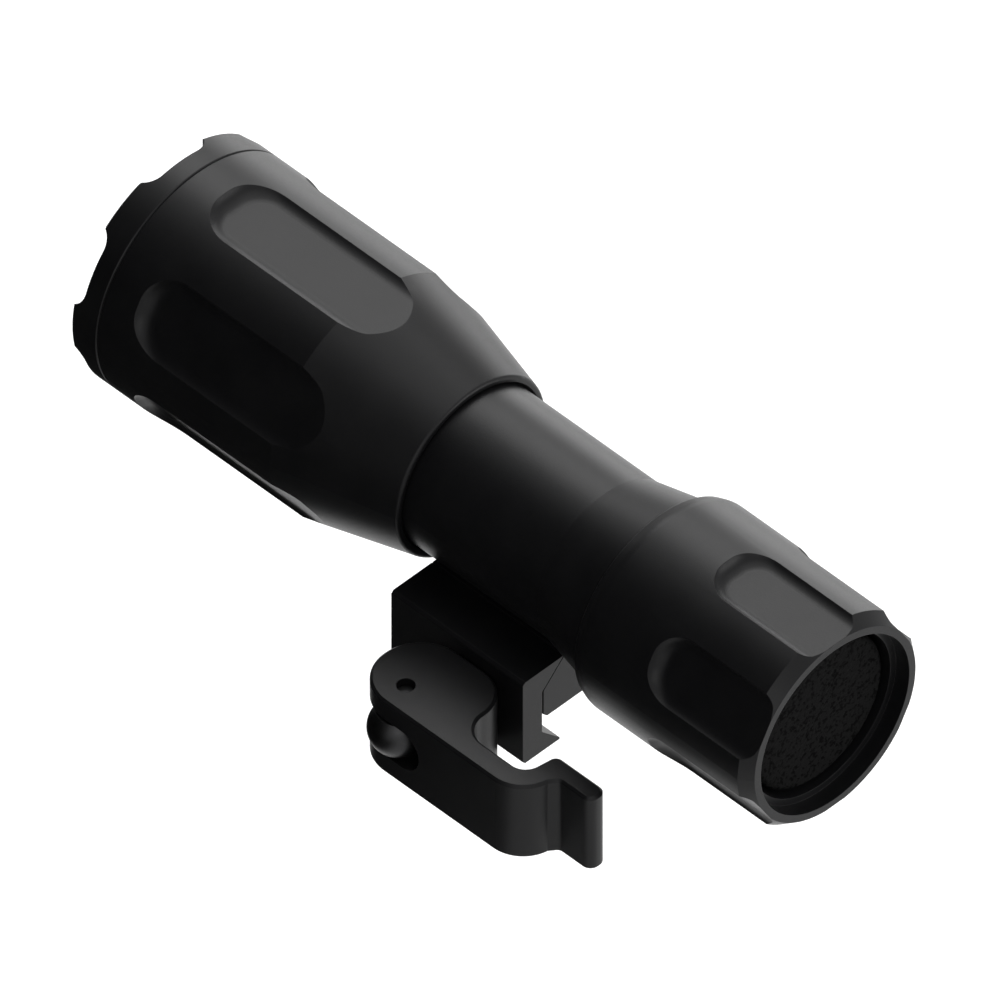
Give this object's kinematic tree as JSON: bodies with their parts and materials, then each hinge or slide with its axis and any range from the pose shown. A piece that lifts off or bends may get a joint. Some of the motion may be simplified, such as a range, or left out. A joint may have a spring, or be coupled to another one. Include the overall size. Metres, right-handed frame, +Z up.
{
  "type": "infrared illuminator",
  "caption": "Infrared illuminator: tube with a focusing head behind a fluted bezel, a grooved tail cap with a push button, and a lever-locked clamp for an accessory rail.",
  "frame": {"origin": "centre of the rail seat, on the plane of the cross bolt", "axes": "+X the beam direction along the barrel, +Y towards the clamp lever, +Z up from the rail to the barrel"},
  "size_m": [0.1105, 0.0442, 0.0406],
  "materials": {
    "black_anodised": "black anodised, satin",
    "window_glass": "clear, coated",
    "lens_acrylic": "clear, polished",
    "seal_rubber": "matt",
    "pad_rubber": "dark grey, finely textured",
    "black_plastic": "black, matt",
    "white_plastic": "white, slippery",
    "bare_aluminium": "turned, uncoated",
    "emitter_board": "white solder mask",
    "green_board": "green solder mask",
    "emitter_white": "clear dome on a white package",
    "red_wire": "red insulation",
    "black_wire": "black insulation",
    "pin_steel": "ground",
    "black_steel": "black oxide",
    "spring_steel": "bright wire",
    "contact_brass": "bright",
    "cell_sleeve": "blue shrink sleeve"
  },
  "bodies": {
    "tube_and_mount": {"body_tube": "black_anodised", "mount_block": "black_anodised", "saddle_screw_front": "black_steel", "saddle_screw_rear": "black_steel", "cross_bolt": "black_steel", "bolt_nut": "black_steel", "jaw_guide_pin_front": "pin_steel", "jaw_guide_pin_rear": "pin_steel", "jaw_spring_front": "spring_steel", "jaw_spring_rear": "spring_steel", "battery_cell": "cell_sleeve", "front_contact_spring": "contact_brass", "driver_board": "green_board", "led_pill": "bare_aluminium", "led_board": "emitter_board", "led_emitter": "emitter_white", "led_lead_positive": "red_wire", "led_lead_negative": "black_wire", "focus_pin_top": "pin_steel", "focus_pin_left": "pin_steel", "focus_pin_right": "pin_steel", "head_seal": "seal_rubber", "tail_seal": "seal_rubber", "thrust_washer": "white_plastic"},
    "focusing_head": {"head_shell": "black_anodised", "bezel_ring": "black_anodised", "front_window": "window_glass", "window_seal": "seal_rubber"},
    "lens_group": {"lens_cell": "black_plastic", "lens": "lens_acrylic", "lens_retainer": "black_plastic"},
    "tail_travel": {"tail_contact": "contact_brass", "tail_spring": "contact_brass"},
    "tail_cap": {"tail_cap": "black_anodised", "switch_retainer": "bare_aluminium", "switch_housing": "black_plastic", "button_spring": "spring_steel"},
    "button": {"button_plunger": "black_plastic", "button_pad": "pad_rubber"},
    "lever": {"lever": "black_anodised", "lever_pin": "black_steel"},
    "jaw": {"clamp_jaw": "black_anodised"}
  },
  "joints": [
    {"name": "head_turn", "type": "hinge", "parent": "tube_and_mount", "child": "focusing_head", "pos_m": [0, 0, 0.0183], "axis": [1, 0, 0], "range_deg": [0, 180]},
    {"name": "focus_slide", "type": "slide", "parent": "tube_and_mount", "child": "lens_group", "axis": [1, 0, 0], "range_m": [0, 0.004]},
    {"name": "tail_cap_travel", "type": "slide", "parent": "tube_and_mount", "child": "tail_travel", "axis": [-1, 0, 0], "range_m": [0, 0.005]},
    {"name": "tail_cap_turn", "type": "hinge", "parent": "tail_travel", "child": "tail_cap", "pos_m": [0, 0, 0.0183], "axis": [-1, 0, 0], "range_deg": [0, 1800]},
    {"name": "button_press", "type": "slide", "parent": "tail_cap", "child": "button", "axis": [1, 0, 0], "range_m": [0, 0.0012], "stiffness_N_per_m": 800, "springref_m": -0.0008, "deforming": ["button_spring"]},
    {"name": "lever_swing", "type": "hinge", "parent": "tube_and_mount", "child": "lever", "pos_m": [0, 0.0225, 0], "axis": [0, 0, -1], "range_deg": [0, 100]},
    {"name": "jaw_slide", "type": "slide", "parent": "tube_and_mount", "child": "jaw", "axis": [0, 1, 0], "range_m": [0, 0.0021]}
  ],
  "couplings": [
    {"joint": "focus_slide", "follows": "head_turn", "m_per_rad": 0.001273},
    {"joint": "tail_cap_travel", "follows": "tail_cap_turn", "m_per_rad": 0.00015915},
    {"joint": "jaw_slide", "follows": "lever_swing", "m_per_rad": 0.0011}
  ]
}
